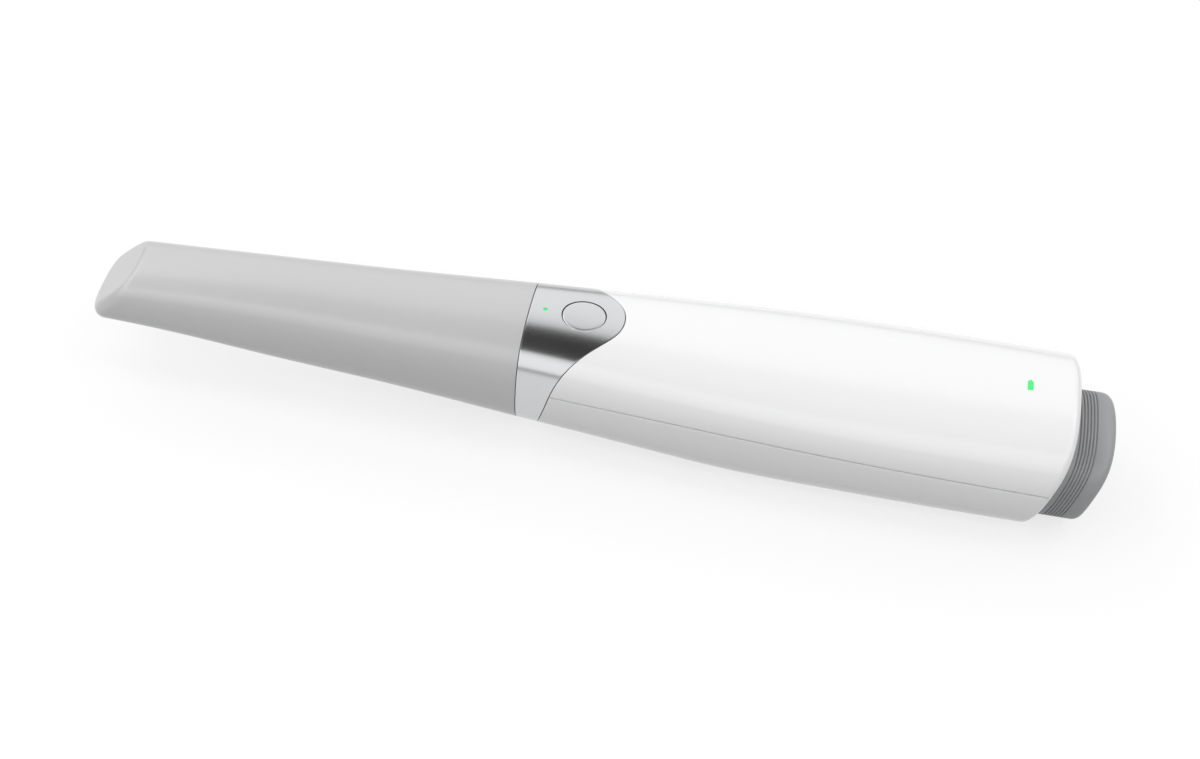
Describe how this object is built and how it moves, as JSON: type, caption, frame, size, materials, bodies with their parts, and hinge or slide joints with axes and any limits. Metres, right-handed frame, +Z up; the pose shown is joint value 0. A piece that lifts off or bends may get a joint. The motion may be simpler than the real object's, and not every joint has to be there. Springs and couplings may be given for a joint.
{
  "type": "intraoral scanner",
  "caption": "Hand-held wireless scanner with a removable slant-nosed tip, metal collar with a round button, two-part housing and a pull-out battery pack.",
  "frame": {"origin": "centre of the bounding box, at the level of the flat land that it rests on", "axes": "+X along the handle towards the battery grip, nose at -X; +Z up, button on top"},
  "size_m": [0.282, 0.051, 0.0364],
  "materials": {
    "tip": "satin, fine moulded grain",
    "mirror": "front-silvered glass",
    "collar": "polished and clear anodised",
    "button": "brushed",
    "housing": "gloss white",
    "housing_lower": "gloss white",
    "grip": "satin",
    "snout": "matt black, light absorbing",
    "optic_glass": "coated",
    "seal": "matt",
    "optic_metal": "black anodised",
    "carrier": "machined",
    "heat_sink": "clear anodised",
    "board": "solder resist",
    "shield": "tinned",
    "ribbon": "polyimide film",
    "switch": "moulded",
    "light": "translucent green",
    "lamp": "moulded lens",
    "frame": "glass filled",
    "bay": "glass filled",
    "case": "moulded",
    "cell": "shrink wrapped",
    "contact": "gold plated",
    "screw": "zinc plated"
  },
  "bodies": {
    "tip": {"tip_sleeve": "tip", "tip_mirror": "mirror"},
    "handle": {"collar": "collar", "upper_shell": "housing", "lower_shell": "housing_lower", "optical_snout": "snout", "snout_window": "optic_glass", "snout_seal": "seal", "snout_screws": "screw", "optics_carrier": "carrier", "projector_barrel": "optic_metal", "projector_lens": "optic_glass", "projector_block": "optic_metal", "camera_barrel_left": "optic_metal", "camera_barrel_right": "optic_metal", "camera_lens_left": "optic_glass", "camera_lens_right": "optic_glass", "camera_board_left": "board", "camera_board_right": "board", "light_source_board": "board", "heat_sink": "heat_sink", "engine_frame": "frame", "frame_screws": "screw", "switch_board": "board", "button_switch": "switch", "status_led": "lamp", "status_light": "light", "main_board": "board", "board_screws": "screw", "processor_shield": "shield", "wireless_module": "shield", "battery_led": "lamp", "battery_light": "light", "camera_ribbon_left": "ribbon", "camera_ribbon_right": "ribbon", "light_ribbon": "ribbon", "switch_ribbon": "ribbon", "housing_screws": "screw", "battery_bay": "bay", "terminal_block": "switch", "contact_blades": "contact"},
    "button": {"button_cap": "button", "switch_plunger": "switch"},
    "battery_pack": {"battery_grip": "grip", "battery_case": "case", "battery_cell_left": "cell", "battery_cell_right": "cell", "battery_board": "board", "battery_terminals": "contact", "battery_seal": "seal"}
  },
  "joints": [
    {"name": "tip_pull", "type": "slide", "parent": "handle", "child": "tip", "axis": [-1, 0, 0], "range_m": [0, 0.08]},
    {"name": "button_press", "type": "slide", "parent": "handle", "child": "button", "axis": [0, 0, -1], "range_m": [0, 0.0005], "stiffness_N_per_m": 3000},
    {"name": "battery_pull", "type": "slide", "parent": "handle", "child": "battery_pack", "axis": [1, 0, 0], "range_m": [0, 0.082]}
  ]
}
